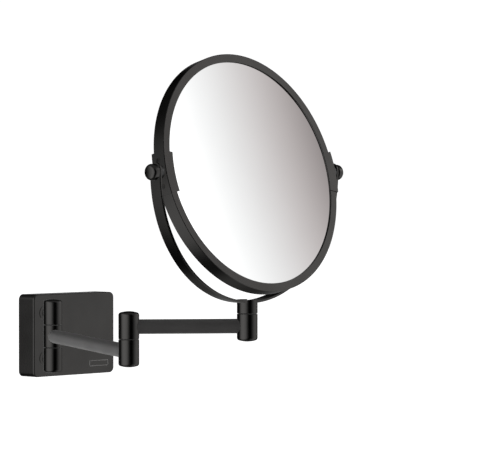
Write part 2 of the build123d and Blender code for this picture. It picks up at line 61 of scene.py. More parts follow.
MM = 0.001
JOINTS = {joint["name"]: np.array(joint["pos_m"], float) for joint in frame["joints"]}
POST, ELBOW = JOINTS["wall_swing"], JOINTS["elbow_swing"]
HEAD, TILT = JOINTS["head_swing"], JOINTS["mirror_tilt"]
ROUND = 128                      # facets around a barrel, a rod or a knob
RIM_STEPS = 180                  # facets along half of the rim
SUPPORT = 0.2 * MM               # from a rounding to the ring of points that keeps its neighbour flat
SOFT = 0.15 * MM                 # the small bevel of a sheet's or a cap's edge


def box(*nodes):
    """The lowest and highest corner of one or more CAD nodes, as arrays."""
    corners = [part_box(node) for node in nodes]
    low = np.min([np.array(pair[0]) for pair in corners], axis=0)
    high = np.max([np.array(pair[1]) for pair in corners], axis=0)
    return low, high


def size_of(node):
    """A CAD node's size along the three axes."""
    low, high = box(node)
    return high - low


BARREL_R = float(size_of("elbow_upper_knuckle")[0]) / 2
ROD_R = float(size_of("lower_arm_rod")[2]) / 2
RIM_R = float(size_of("upper_rim_half")[0]) / 2
RIM_LOW, RIM_HIGH = box("upper_rim_half", "lower_rim_half")
RIM_CENTRE = (RIM_LOW + RIM_HIGH) / 2
YOKE_LOW, YOKE_HIGH = box("yoke_strip")
YOKE_R = float(YOKE_HIGH[0] - YOKE_LOW[0]) / 2
YOKE_HALF_W = float(YOKE_HIGH[1] - YOKE_LOW[1]) / 2
PLATE_LOW, PLATE_HIGH = box("wall_cover")


# ---------------------------------------------------------------- settings
def length(name, description, mm):
    """A length, given in millimetres and held in metres."""
    return bpy.props.FloatProperty(name=name, description=description, default=mm * MM, unit="LENGTH",
                                   precision=4)


def share(name, description, value):
    """A number from 0 to 1."""
    return bpy.props.FloatProperty(name=name, description=description, default=value, min=0, max=1,
                                   subtype="FACTOR")


def colour(name, description, value):
    """A colour, as linear red, green and blue."""
    return bpy.props.FloatVectorProperty(name=name, description=description, default=value, size=3,
                                         min=0, max=1, subtype="COLOR")


def angle(name, description, degrees):
    """An angle, given in degrees and held in radians."""
    return bpy.props.FloatProperty(name=name, description=description, default=radians(degrees),
                                   subtype="ANGLE")


class MirrorSizes(bpy.types.PropertyGroup):
    """Sizes of the detail that the frame doesn't give."""
    plate_corner: length("Plate corner", "Radius of the wall plate's four corners", 5.0)
    plate_edge: length("Plate edge", "Rounding around the plate's front face", 1.2)
    plate_wall: length("Plate wall", "Thickness of the cover's side walls", 2.5)
    plate_front: length("Plate front", "Thickness of the cover's front wall", 3.0)
    seam_chamfer: length("Seam chamfer", "Bevel where two barrels meet", 0.3)
    barrel_edge: length("Barrel edge", "Rounding around a barrel's dome", 2.2)
    barrel_dome: length("Barrel dome", "Rise of the shallow dome on a barrel's end", 1.6)
    chamber: length("Cap radius", "Radius of the cap that closes a barrel", 5.0)
    standoff_radius: length("Standoff radius", "Radius of the studs that carry the post", 4.25)
    collar_depth: length("Collar depth", "Depth of the collar on each stud", 1.1)
    collar_undercut: length("Collar undercut", "How far the collar draws in towards the plate", 0.3)
    badge_line: length("Badge line", "Width of the raised line around the badge", 0.55)
    badge_rise: length("Badge rise", "How far that line stands above the plate", 0.12)
    yoke_thickness: length("Yoke thickness", "Thickness of the yoke's strip", 2.0)
    yoke_edge: length("Yoke edge", "Bevel along the strip's outer edges", 0.6)
    rim_depth: length("Rim depth", "Depth of the rim along the mirror's axis", 11.8)
    rim_wall: length("Rim wall", "Thickness of the rim's outer wall", 1.5)
    bezel: length("Bezel width", "How far the rim reaches over the glass", 6.8)
    bezel_wall: length("Bezel wall", "Thickness of the bezel", 1.0)
    rim_edge: length("Rim edge", "Bevel of the rim's outer edges", 0.4)
    glass_radius: length("Glass radius", "Radius of both glasses", 95.4)
    glass_sag: length("Glass dish", "Depth of the magnifying glass's dish", 3.2)
    glass_thickness: length("Glass thickness", "Thickness of both glasses", 2.0)
    clip_wall: length("Clip wall", "Thickness of the clip's sheet", 1.3)
    clip_lap: length("Clip lap", "How far a clip reaches past the bezel", 1.8)
    clip_edge: length("Clip edge", "Bevel of a clip's outer edges", 0.5)
    clip_half: angle("Clip half angle", "Half of the arc that a clip covers", 10.0)
    knob_dome: length("Knob dome", "Rise of the knob's face", 1.0)
    shoulder_radius: length("Shoulder radius", "Radius of the pivot screw's shoulder", 3.0)
    thread_radius: length("Thread radius", "Radius of the pivot screw's thread", 2.0)
    knob_edge: length("Knob edge", "Rounding around the knob's face", 3.2)
    tilt: angle("Tilt at rest", "How far the mirror leans back", 14.6)


class MirrorFinishes(bpy.types.PropertyGroup):
    """Colours and textures of the finishes."""
    coat: colour("Black coat", "Colour of the coat on plate, barrels, yoke and rim", (0.058, 0.0565, 0.055))
    coat_roughness: share("Coat roughness", "Roughness of that coat", 0.24)
    coat_edge: colour("Coat at a glance", "What is left of the coat's gloss at a grazing angle",
                      (0.4, 0.4, 0.4))
    # The rods carry the same black coat as the rest. Their lighter colour, on a coat without metal, is painted
    # light that makes the rods as bright as the light falling on them.
    rod: colour("Rod coat", "Colour of the coat on the two rods", (0.072, 0.070, 0.069))
    rod_roughness: share("Rod roughness", "Roughness of the rods' coat", 0.45)
    grain: length("Coat grain", "Size of the coat's grain", 0.6)
    silver: colour("Silvering", "Colour of the glasses' silvering", (0.66, 0.664, 0.664))
    zinc: colour("Zinc", "Colour of the zinc plated bracket", (0.52, 0.53, 0.54))
    steel: colour("Steel", "Colour of turned steel", (0.55, 0.55, 0.55))
    polymer: colour("Polymer", "Colour of bushes and washers", (0.04, 0.04, 0.04))
    badge: colour("Badge line", "Colour of the badge's border", (0.24, 0.235, 0.23))


class MirrorStudio(bpy.types.PropertyGroup):
    """Camera and light."""
    azimuth: angle("View azimuth", "Turn of the camera about the vertical, from -Y", -47.01)
    elevation: angle("View elevation", "Height angle of the camera", 0.93)
    distance: length("View distance", "From the camera to the aim", 2631.63)
    aim_side: length("Aim, sideways", "Aim's distance from the origin, across the view", 173.74)
    aim_up: length("Aim, upwards", "Aim's height in the view above the origin", 98.58)
    lens: bpy.props.FloatProperty(name="Lens", description="Focal length in millimetres on a 36 mm sensor",
                                  default=207.97, min=1)
    floor_drop: length("Floor drop", "From the plate's centre down to the floor", 260.0)
    key: bpy.props.FloatProperty(name="Light level", description="Strength of the studio's light",
                                 default=1.0, min=0)


# ---------------------------------------------------------------- surfaces
def make_object(name, points, faces, sharp_deg=32.0):
    """A closed mesh with its doubles merged, its faces outwards and its curved faces smooth."""
    mesh = bpy.data.meshes.new(name)
    mesh.from_pydata(points.tolist(), [], faces)
    mesh.validate()
    work = bmesh.new()
    work.from_mesh(mesh)
    bmesh.ops.remove_doubles(work, verts=work.verts, dist=1e-7)
    bmesh.ops.dissolve_degenerate(work, dist=1e-8, edges=work.edges)
    bmesh.ops.recalc_face_normals(work, faces=work.faces)
    work.to_mesh(mesh)
    work.free()
    mesh.shade_smooth()
    mesh.set_sharp_from_angle(angle=radians(sharp_deg))
    piece = bpy.data.objects.new(name, mesh)
    bpy.context.scene.collection.objects.link(piece)
    return piece


def grid_faces(rows, columns, start=0, wrap_rows=False, caps=True):
    """Quads between the rows of a grid whose columns close on themselves, and a cap on each end row."""
    row, column = np.meshgrid(np.arange(rows - (0 if wrap_rows else 1)), np.arange(columns), indexing="ij")
    after, beside = (row + 1) % rows, (column + 1) % columns
    quads = np.stack([row * columns + column, row * columns + beside, after * columns + beside,
                      after * columns + column], axis=-1).reshape(-1, 4) + start
    faces = quads.tolist()
    if caps and not wrap_rows:
        faces.append((np.arange(columns)[::-1] + start).tolist())
        faces.append((np.arange(columns) + (rows - 1) * columns + start).tolist())
    return faces


def combine(*shells):
    """Several closed shells, each given as points and faces, in one mesh."""
    points, faces, start = [], [], 0
    for shell_points, shell_faces in shells:
        points.append(shell_points)
        faces += [[index + start for index in face] for face in shell_faces]
        start += len(shell_points)
    return np.vstack(points), faces


def arc(centre, radius, from_deg, to_deg, steps=8):
    """Points of an arc: centre plus radius times the cosine and the sine of an angle that runs evenly."""
    turn = np.radians(np.linspace(from_deg, to_deg, steps))
    return np.stack([centre[0] + radius * np.cos(turn), centre[1] + radius * np.sin(turn)], axis=1)


def edge_and_dome(radius, foot, rise, edge):
    """Profile of a bar's end, as radius and height: an arc from the bar's side that runs into a shallow
    dome, tangent to both. The dome is part of the circle through the bar's edge, at its foot, and its tip."""
    sphere = (radius**2 + rise**2) / (2 * rise)
    middle = foot + rise - sphere
    corner = radius - edge
    height = middle + sqrt((sphere - edge)**2 - corner**2)
    slope = np.degrees(atan2(height - middle, corner))
    rounding = arc((corner, height), edge, 0, slope, 9)
    across = rounding[-1, 0] * np.linspace(1, 0, 12)[1:]
    return np.vstack([rounding, np.stack([across, middle + np.sqrt(sphere**2 - across**2)], axis=1)])


def lathe(profile, origin, axis="Z", steps=ROUND, closed=False):
    """A profile of radius and height turned about an axis: the point is origin plus height along the axis
    plus radius times the cosine and sine of the turn across it."""
    profile = np.asarray(profile, float)
    turn = np.linspace(0, tau, steps, endpoint=False)
    ring = np.stack([np.cos(turn), np.sin(turn), np.zeros(steps)], axis=1)
    points = profile[:, None, :1] * ring[None] + profile[:, None, 1:] * np.array([0.0, 0.0, 1.0])
    points = points.reshape(-1, 3)
    if axis == "X":
        points = points[:, [2, 0, 1]]
    elif axis == "Y":
        points = points[:, [1, 2, 0]]
    return points + np.asarray(origin), grid_faces(len(profile), steps, wrap_rows=closed, caps=not closed)


def leant_back(points, tilt):
    """Points given about the mirror's own centre, turned back about X by an angle in radians and put
    where the rim is."""
    c, s = cos(tilt), sin(tilt)
    x, y, z = points.T
    return np.stack([x, c * y + s * z, c * z - s * y], axis=1) + RIM_CENTRE


def carry_round(section, half_turn, middle, steps):
    """A section of radius and depth carried around the mirror's axis, Y: the point is radius times the
    cosine and sine of the turn in X and Z, and the depth in Y. It runs half_turn to both sides of the
    middle."""
    section = np.asarray(section, float)
    turn = middle + np.linspace(-half_turn, half_turn, steps)
    points = np.stack([section[None, :, 0] * np.cos(turn)[:, None],
                       np.broadcast_to(section[None, :, 1], (steps, len(section))),
                       section[None, :, 0] * np.sin(turn)[:, None]], axis=-1).reshape(-1, 3)
    return points, grid_faces(steps, len(section))


def rounded_rectangle(half_w, half_h, corner, steps=8):
    """Outline of a rectangle whose corners are quarter circles, counter-clockwise."""
    w, h = half_w - corner, half_h - corner
    places = ((w, h, 0), (-w, h, 90), (-w, -h, 180), (w, -h, 270))
    return np.vstack([arc((x, z), corner, start, start + 90, steps) for x, z, start in places])


def stacked(outlines, depths):
    """Outlines of equal length in X and Z, one behind the other at the given depths in Y."""
    points = np.concatenate([np.stack([outline[:, 0], np.full(len(outline), depth), outline[:, 1]], axis=1)
                             for outline, depth in zip(outlines, depths)])
    return points, grid_faces(len(outlines), len(outlines[0]))


# ---------------------------------------------------------------- materials
def new_material(name):
    """A node material, with its nodes, its links and its shader."""
    material = bpy.data.materials.new(name)
    material.use_nodes = True
    nodes, links = material.node_tree.nodes, material.node_tree.links
    return material, nodes, links, nodes["Principled BSDF"]


def noise(nodes, links, scale, detail):
    """A noise pattern in the piece's own coordinates."""
    place = nodes.new("ShaderNodeTexCoord")
    pattern = nodes.new("ShaderNodeTexNoise")
    pattern.inputs["Scale"].default_value = scale
    pattern.inputs["Detail"].default_value = detail
    links.new(place.outputs["Object"], pattern.inputs["Vector"])
    return pattern


def spread(nodes, links, source, low, high):
    """Carries a pattern's middle range over to two values."""
    ranged = nodes.new("ShaderNodeMapRange")
    ranged.inputs["From Min"].default_value = 0.3
    ranged.inputs["From Max"].default_value = 0.7
    ranged.inputs["To Min"].default_value = low
    ranged.inputs["To Max"].default_value = high
    links.new(source, ranged.inputs["Value"])
    return ranged.outputs["Result"]


def shade_between(nodes, links, source, colour_a, colour_b):
    """A colour that runs between two others with a pattern."""
    ramp = nodes.new("ShaderNodeValToRGB")
    ramp.color_ramp.elements[0].position = 0.3
    ramp.color_ramp.elements[0].color = (*colour_a, 1)
    ramp.color_ramp.elements[1].position = 0.7
    ramp.color_ramp.elements[1].color = (*colour_b, 1)
    links.new(source, ramp.inputs["Fac"])
    return ramp.outputs["Color"]


def bumped(nodes, links, shader, source, depth, strength=0.5):
    """Lets a pattern raise the surface by a given depth."""
    bump = nodes.new("ShaderNodeBump")
    bump.inputs["Strength"].default_value = strength
    bump.inputs["Distance"].default_value = depth
    links.new(source, bump.inputs["Height"])
    links.new(bump.outputs["Normal"], shader.inputs["Normal"])


def tone(base, factor):
    """A colour made lighter or darker."""
    return tuple(min(1.0, channel * factor) for channel in base)


def coated(name, base, roughness, metallic, grain):
    """Stoved black coat: a fine orange-peel grain, a cloudy change of colour, and faint handling marks
    that change its roughness."""
    material, nodes, links, shader = new_material(name)
    fine = noise(nodes, links, 1 / grain, 2.0)
    cloud = noise(nodes, links, 1 / (40 * grain), 4.0)
    shader.inputs["Metallic"].default_value = metallic
    if metallic:
        edge = bpy.context.scene.mirror_finishes.coat_edge
        shader.inputs["Specular Tint"].default_value = (*edge, 1)
    links.new(shade_between(nodes, links, cloud.outputs["Fac"], tone(base, 0.93), tone(base, 1.07)),
              shader.inputs["Base Color"])
    links.new(spread(nodes, links, cloud.outputs["Fac"], roughness * 0.93, roughness * 1.07),
              shader.inputs["Roughness"])
    bumped(nodes, links, shader, fine.outputs["Fac"], 0.02 * MM, 0.25)
    return material


def worked_metal(name, base, roughness, pattern_size, depth):
    """Bare or plated steel: mottled brightness and a fine tool or spangle texture."""
    material, nodes, links, shader = new_material(name)
    mottle = noise(nodes, links, 1 / (6 * pattern_size), 4.0)
    fine = noise(nodes, links, 1 / pattern_size, 2.0)
    shader.inputs["Metallic"].default_value = 1.0
    links.new(shade_between(nodes, links, mottle.outputs["Fac"], tone(base, 0.85), tone(base, 1.1)),
              shader.inputs["Base Color"])
    links.new(spread(nodes, links, fine.outputs["Fac"], roughness * 0.8, roughness * 1.25),
              shader.inputs["Roughness"])
    bumped(nodes, links, shader, fine.outputs["Fac"], depth)
    return material


def moulded(name, base, roughness, grain):
    """Moulded polymer or foam with a matt grain."""
    material, nodes, links, shader = new_material(name)
    fine = noise(nodes, links, 1 / grain, 3.0)
    links.new(shade_between(nodes, links, fine.outputs["Fac"], tone(base, 0.8), tone(base, 1.25)),
              shader.inputs["Base Color"])
    links.new(spread(nodes, links, fine.outputs["Fac"], roughness * 0.9, roughness * 1.1),
              shader.inputs["Roughness"])
    bumped(nodes, links, shader, fine.outputs["Fac"], 0.05 * MM)
    return material


def silvered(name, base):
    """Silvered glass: a clear reflection with a barely visible cloudiness in the silver."""
    material, nodes, links, shader = new_material(name)
    cloud = noise(nodes, links, 1 / (30 * MM), 2.0)
    shader.inputs["Metallic"].default_value = 1.0
    shader.inputs["Roughness"].default_value = 0.0
    links.new(shade_between(nodes, links, cloud.outputs["Fac"], tone(base, 0.995), tone(base, 1.005)),
              shader.inputs["Base Color"])
    return material


def finishes():
    """The materials, made once and found again by name."""
    if "Black coat" not in bpy.data.materials:
        look = bpy.context.scene.mirror_finishes
        coated("Black coat", look.coat, look.coat_roughness, 1.0, look.grain)
        # the rods' lighter copy of the black coat, whose extra brightness is painted light
        coated("Rod coat", look.rod, look.rod_roughness, 0.0, look.grain)
        worked_metal("Blackened screws", tone(look.coat, 0.7), 0.2, 0.5 * MM, 0.01 * MM)
        worked_metal("Zinc plate", look.zinc, 0.34, 1.2 * MM, 0.02 * MM)
        worked_metal("Turned steel", look.steel, 0.28, 0.4 * MM, 0.01 * MM)
        moulded("Black polymer", look.polymer, 0.45, 0.4 * MM)
        moulded("Foam", tone(look.polymer, 1.2), 0.9, 0.9 * MM)
        silvered("Silvered glass", look.silver)
        coated("Badge line", look.badge, 0.5, 0.0, look.grain)
    return bpy.data.materials


def finish(piece, material, body, slot, *nodes):
    """Gives a new piece its material and its body, and hides the CAD nodes that it stands for. The slot is not
    used.
    """
    piece.data.materials.append(finishes()[material])
    piece.visible_glossy = False             # the coat shows the studio, not its neighbours
    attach(piece, body)
    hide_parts(*nodes)
    return piece


def black_piece(node, body, points, faces):
    """A piece in the black coat that stands for the CAD node of the same name."""
    return finish(make_object(node.capitalize(), points, faces), "Black coat", body, "black_coat", node)


# ---------------------------------------------------------------- wall plate
class MIRROR_OT_wall_plate(bpy.types.Operator):
    """Cast cover with rounded edges, and the blank badge on it"""
    bl_idname = "mirror.wall_plate"
    bl_label = "Wall plate"

    def execute(self, context):
        size = context.scene.mirror_sizes
        half_w, half_h = (PLATE_HIGH[0] - PLATE_LOW[0]) / 2, (PLATE_HIGH[2] - PLATE_LOW[2]) / 2
        front, back = PLATE_LOW[1], PLATE_HIGH[1]
        edge, wall = size.plate_edge, size.plate_wall
        # rings from the front face, around its rounding, along the side, over the back edge and inside
        turn = np.radians(np.linspace(0, 90, 9))
        floor, smallest = front + size.plate_front, 0.5 * MM
        inset = np.concatenate([[3 * edge, 1.2 * edge], edge * (1 - np.sin(turn)),
                                [0, 0, SUPPORT, wall, wall, wall + 1 * MM]])
        depth = np.concatenate([[front, front], front + edge * (1 - np.cos(turn)),
                                [front + 1.2 * edge, back - SUPPORT, back, back, floor, floor]])
        outlines = [rounded_rectangle(half_w - step, half_h - step, max(size.plate_corner - step, smallest))
                    for step in inset]
        black_piece("wall_cover", "wall_bracket", *stacked(outlines, depth))

        low, high = box("blank_badge")
        x, z = (low[0] + high[0]) / 2, (low[2] + high[2]) / 2
        half_w, half_h = (high[0] - low[0]) / 2, (high[2] - low[2]) / 2
        # the raised line's own section: how far in from the badge's edge, and how far up
        line, rise, corner = size.badge_line, size.badge_rise, 0.8 * MM
        bevel, crown = 0.12 * MM, rise + 0.04 * MM
        steps = ((0, 0), (0, rise), (bevel, crown), (line - bevel, crown), (line, rise), (line, 0))
        outlines = [rounded_rectangle(half_w - inward, half_h - inward, corner - inward)
                    for inward, _ in steps]
        points, _ = stacked(outlines, [front - up for _, up in steps])
        faces = grid_faces(len(steps), len(outlines[0]), wrap_rows=True)
        badge = make_object("Blank_badge", points + np.array([x, 0, z]), faces)
        finish(badge, "Badge line", "wall_bracket", "badge_satin", "blank_badge")
        return {"FINISHED"}


class MIRROR_OT_standoffs(bpy.types.Operator):
    """The two turned studs between the plate and the post"""
    bl_idname = "mirror.standoffs"
    bl_label = "Standoffs"

    def execute(self, context):
        size = context.scene.mirror_sizes
        radius, bevel, bolt = size.standoff_radius, 0.08 * MM, 3 * MM
        inside_barrel, face = POST[1] + 2 * MM, PLATE_LOW[1]
        shelf = face - size.collar_depth
        for name in ("upper_standoff", "lower_standoff"):
            low, high = box(name)
            height, collar = (low[2] + high[2]) / 2, (high[2] - low[2]) / 2
            profile = [(radius, inside_barrel), (radius, shelf), (collar - bevel, shelf),
                       (collar, shelf + bevel), (collar - size.collar_undercut, face), (bolt, face),
                       (bolt, high[1])]
            black_piece(name, "wall_bracket", *lathe(profile, (POST[0], 0, height), "Y"))
        return {"FINISHED"}


# ---------------------------------------------------------------- barrels and rods
def barrel_end(size, foot):
    """Profile of a barrel's rounded and domed end."""
    return edge_and_dome(BARREL_R, foot, size.barrel_dome, size.barrel_edge)


def height_at(curve, radius):
    """Height of an end's profile at a radius. The profile runs inwards, so it is read from its far end."""
    return np.interp(radius, curve[::-1, 0], curve[::-1, 1])


def end_barrel(node, cap_node, axis, size):
    """A barrel with a bevelled seam face at one end and a rounded, domed end at the other. One with a cap
    is a tube that hangs below its seam, and the cap is a piece of its own. One without stands on it."""
    low, high = box(node, cap_node or node)
    bevel, lip, bore = size.seam_chamfer, 0.12 * MM, size.chamber
    curve = barrel_end(size, high[2] - low[2] - size.barrel_dome)
    side = (bevel + SUPPORT, curve[0, 1] - SUPPORT)
    outside = [(BARREL_R - bevel, 0), (BARREL_R, bevel), *[(BARREL_R, height) for height in side]]
    if cap_node:
        rim = height_at(curve, bore)
        profile = np.array([(bore, 0), *outside, *curve[curve[:, 0] > bore], (bore + lip, rim),
                            (bore, rim - lip)])
        profile[:, 1] = high[2] - profile[:, 1]
    else:
        profile = np.array([(0, 0), *outside, *curve])
        profile[:, 1] += low[2]
    return lathe(profile, (axis[0], axis[1], 0), closed=bool(cap_node))


def cap(node, axis, size):
    """The cap in a barrel's foot: a short plug whose outside carries on the barrel's dome."""
    low, high = box(node)
    radius = (high[0] - low[0]) / 2 - 0.04 * MM
    curve = barrel_end(size, high[2] - low[2] - size.barrel_dome)
    rim = height_at(curve, radius)
    profile = np.array([(0, 0), (radius, 0), (radius, rim - SOFT), (radius - 0.12 * MM, rim),
                        *curve[curve[:, 0] < radius - SOFT]])
    profile[:, 1] = high[2] - profile[:, 1]
    return lathe(profile, (axis[0], axis[1], 0))


# every barrel with a domed end: node, its cap's node, its body and its axis
END_BARRELS = (("upper_fixed_knuckle", None, "wall_bracket", POST),
               ("lower_fixed_knuckle", "wall_hinge_cap", "wall_bracket", POST),
               ("elbow_lower_knuckle", "elbow_hinge_cap", "lower_arm", ELBOW),
               ("elbow_upper_knuckle", None, "upper_arm", ELBOW),
               ("head_lower_knuckle", "head_hinge_cap", "upper_arm", HEAD))


class MIRROR_OT_barrels(bpy.types.Operator):
    """Hinge barrels at the wall, the elbow and the head, and the caps under them"""
    bl_idname = "mirror.barrels"
    bl_label = "Hinge barrels"

    def execute(self, context):
        size = context.scene.mirror_sizes
        for node, cap_node, body, axis in END_BARRELS:
            black_piece(node, body, *end_barrel(node, cap_node, axis, size))
        for _, cap_node, body, axis in END_BARRELS:
            if cap_node:
                black_piece(cap_node, body, *cap(cap_node, axis, size))

        low, high = box("lower_arm_knuckle")
        bevel = size.seam_chamfer
        profile = [(0, low[2]), (BARREL_R - bevel, low[2]), (BARREL_R, low[2] + bevel),
                   (BARREL_R, low[2] + 2 * bevel), (BARREL_R, high[2] - 2 * bevel),
                   (BARREL_R, high[2] - bevel), (BARREL_R - bevel, high[2]), (0, high[2])]
        black_piece("lower_arm_knuckle", "lower_arm", *lathe(profile, (POST[0], POST[1], 0)))

        # the head's upper barrel ends just inside the yoke's strip, and a lug stands at each side of it
        low, high = box("head_upper_knuckle")
        seat, overlap = YOKE_LOW[2] + 0.4 * MM, 0.2 * MM
        profile = [(0, low[2]), (BARREL_R - bevel, low[2]), (BARREL_R, low[2] + bevel),
                   (BARREL_R, seat), (0, seat)]
        shells = [lathe(profile, (HEAD[0], HEAD[1], 0))]
        shells += [self.lug(side, seat - overlap, high[2]) for side in (-1, 1)]
        black_piece("head_upper_knuckle", "yoke", *combine(*shells))
        return {"FINISHED"}

    def lug(self, side, bottom, top):
        """A lug beside the yoke's strip: the slice of the barrel that lies beyond the strip's edge, with
        its top edge bevelled."""
        edge, bevel, count = YOKE_HALF_W + 0.02 * MM, 0.25 * MM, 40

        def slice_of(radius, cut):
            """Points of the arc of a circle that lies beyond a straight cut."""
            half = np.arccos(cut / radius)
            turn = np.linspace(-half, half, count)
            return np.stack([radius * np.sin(turn), side * radius * np.cos(turn)], axis=1)

        rings = ((0, bottom), (0, top - bevel), (bevel, top))
        points = np.concatenate([np.column_stack([slice_of(BARREL_R - inward, edge + 0.5 * inward),
                                                  np.full(count, height)]) for inward, height in rings])
        return points + np.array([HEAD[0], HEAD[1], 0]), grid_faces(len(rings), count)


class MIRROR_OT_rods(bpy.types.Operator):
    """The two round rods, coped to sit against their barrels"""
    bl_idname = "mirror.rods"
    bl_label = "Arm rods"

    def execute(self, context):
        for node, body, start, end in (("lower_arm_rod", "lower_arm", POST, ELBOW),
                                       ("upper_arm_rod", "upper_arm", ELBOW, HEAD)):
            low, high = box(node)
            piece = make_object(node.capitalize(), *self.rod(start, end, (low[2] + high[2]) / 2))
            # the rods keep the black coat's slot, and their lighter copy of it is painted light
            finish(piece, "Rod coat", body, "black_coat", node)
        return {"FINISHED"}

    def rod(self, start, end, z):
        """A rod whose section is a circle. Each end lies on the barrel there: its distance from the
        barrel's axis is the root of the barrel's radius squared less the point's sideways place squared."""
        reach = end[:2] - start[:2]
        span = float(np.hypot(*reach))
        ahead = reach / span
        turn = np.linspace(0, tau, ROUND, endpoint=False)
        across, up = ROD_R * np.cos(turn), ROD_R * np.sin(turn)
        cope, hidden = np.sqrt(BARREL_R**2 - across**2), 3 * MM
        rows = [np.full(ROUND, BARREL_R - hidden), cope, cope + SUPPORT]
        rows += [cope * (1 - t) + (span - cope) * t for t in np.linspace(0.02, 0.98, 25)]
        rows += [span - cope - SUPPORT, span - cope, np.full(ROUND, span - BARREL_R + hidden)]
        along = np.array(rows)
        x = start[0] + along * ahead[0] - across * ahead[1]
        y = start[1] + along * ahead[1] + across * ahead[0]
        points = np.stack([x, y, np.broadcast_to(z + up, along.shape)], axis=-1).reshape(-1, 3)
        return points, grid_faces(len(rows), ROUND)


# ---------------------------------------------------------------- yoke
class MIRROR_OT_yoke(bpy.types.Operator):
    """The half-round strip with rounded ends"""
    bl_idname = "mirror.yoke"
    bl_label = "Yoke"

    def execute(self, context):
        size = context.scene.mirror_sizes
        thick, edge = size.yoke_thickness, size.yoke_edge
        middle = YOKE_R - thick / 2
        pivot = YOKE_LOW[2] + YOKE_R
        straight = YOKE_HIGH[2] - pivot - YOKE_HALF_W
        tip = np.radians(np.linspace(90, 0, 16))
        end_at, end_w = straight + YOKE_HALF_W * np.sin(tip), YOKE_HALF_W * np.cos(tip)
        turn = np.linspace(0, pi, RIM_STEPS + 1)
        count = len(tip)
        # the path's place and outward direction, and the strip's half width, from right tip to left tip
        path_x = np.concatenate([np.full(count, middle), middle * np.cos(turn), np.full(count, -middle)])
        path_z = np.concatenate([end_at, -middle * np.sin(turn), end_at[::-1]])
        out_x = np.concatenate([np.ones(count), np.cos(turn), -np.ones(count)])
        out_z = np.concatenate([np.zeros(count), -np.sin(turn), np.zeros(count)])
        half_w = np.concatenate([end_w, np.full(len(turn), YOKE_HALF_W), end_w[::-1]])
        # the section's corners: place across the thickness, side, and distance in from the strip's edge
        outside, inside = thick / 2, -thick / 2
        thickness = np.array([outside, outside - edge, inside + SOFT, inside,
                              inside, inside + SOFT, outside - edge, outside])
        side = np.array([1, 1, 1, 1, -1, -1, -1, -1])
        inset = np.array([0.75 * edge, 0, 0, SOFT, SOFT, 0, 0, 0.75 * edge])
        narrowest = 0.01 * MM
        width = side * np.maximum(np.maximum(half_w, 2 * narrowest)[:, None] - inset, narrowest)
        x = HEAD[0] + path_x[:, None] + out_x[:, None] * thickness
        z = pivot + path_z[:, None] + out_z[:, None] * thickness
        points = np.stack([x, HEAD[1] + width, z], axis=-1).reshape(-1, 3)
        black_piece("yoke_strip", "yoke", points, grid_faces(len(path_x), len(side)))
        return {"FINISHED"}


# ---------------------------------------------------------------- mirror
class MIRROR_OT_rim(bpy.types.Operator):
    """The two halves of the channel-shaped rim"""
    bl_idname = "mirror.rim"
    bl_label = "Rim"

    def execute(self, context):
        size = context.scene.mirror_sizes
        half, edge = size.rim_depth / 2, size.rim_edge
        inner, wall, lip = RIM_R - size.bezel, RIM_R - size.rim_wall, half - size.bezel_wall
        section = [(inner, -half + SOFT), (inner + SOFT, -half), (RIM_R - edge, -half),
                   (RIM_R, -half + 0.75 * edge), (RIM_R, half - 0.75 * edge), (RIM_R - edge, half),
                   (inner + SOFT, half), (inner, half - SOFT), (inner, lip), (wall, lip), (wall, -lip),
                   (inner, -lip)]
        half_gap = 0.15 * MM                         # between the two halves, under the clips
        half_turn = pi / 2 - half_gap / RIM_R
        for name, middle in (("upper_rim_half", pi / 2), ("lower_rim_half", -pi / 2)):
            points, faces = carry_round(section, half_turn, middle, RIM_STEPS)
            piece = black_piece(name, "mirror", leant_back(points, size.tilt), faces)
            piece.visible_glossy = True              # the glass shows the bezel's inner wall
        return {"FINISHED"}


class MIRROR_OT_glasses(bpy.types.Operator):
    """The dished magnifying glass in front and the flat glass behind"""
    bl_idname = "mirror.glasses"
    bl_label = "Glasses"

    def execute(self, context):
        size = context.scene.mirror_sizes
        radius, sag, thick = size.glass_radius, size.glass_sag, size.glass_thickness
        front = -size.rim_depth / 2 + size.bezel_wall
        sphere = (radius**2 + sag**2) / (2 * sag)
        across = radius * np.linspace(0, 1, 40)
        dish = front + sag - sphere + np.sqrt(sphere**2 - across**2)
        dished = np.vstack([np.column_stack([across, dish]), np.column_stack([across, dish + thick])[::-1]])
        # the ring near the flat glass's edge keeps the shading of its face flat
        flat = [(0, -front), (0.98 * radius, -front), (radius, -front), (radius, -front - thick),
                (0, -front - thick)]
        for node, profile in (("magnifying_glass", dished), ("plain_glass", flat)):
            points, faces = lathe(profile, (0, 0, 0), "Y", 2 * ROUND)
            piece = make_object(node.capitalize(), leant_back(points, size.tilt), faces)
            finish(piece, "Silvered glass", "mirror", "mirror_glass", node)
        return {"FINISHED"}


class MIRROR_OT_clips(bpy.types.Operator):
    """The two clips that hold the rim's halves together"""
    bl_idname = "mirror.clips"
    bl_label = "Clips"

    def execute(self, context):
        size = context.scene.mirror_sizes
        half, wall, edge = size.rim_depth / 2, size.clip_wall, size.clip_edge
        out, outer = half + wall, RIM_R + wall
        lap = RIM_R - size.bezel - size.clip_lap
        section = [(lap, -out + SOFT), (lap + SOFT, -out), (outer - edge, -out),
                   (outer, -out + 0.75 * edge), (outer, out - 0.75 * edge), (outer - edge, out),
                   (lap + SOFT, out), (lap, out - SOFT), (lap, half), (RIM_R, half), (RIM_R, -half),
                   (lap, -half)]
        for name, middle in (("right_clip", 0.0), ("left_clip", pi)):
            points, faces = carry_round(section, size.clip_half, middle, 33)
            black_piece(name, "mirror", leant_back(points, size.tilt), faces)
        return {"FINISHED"}


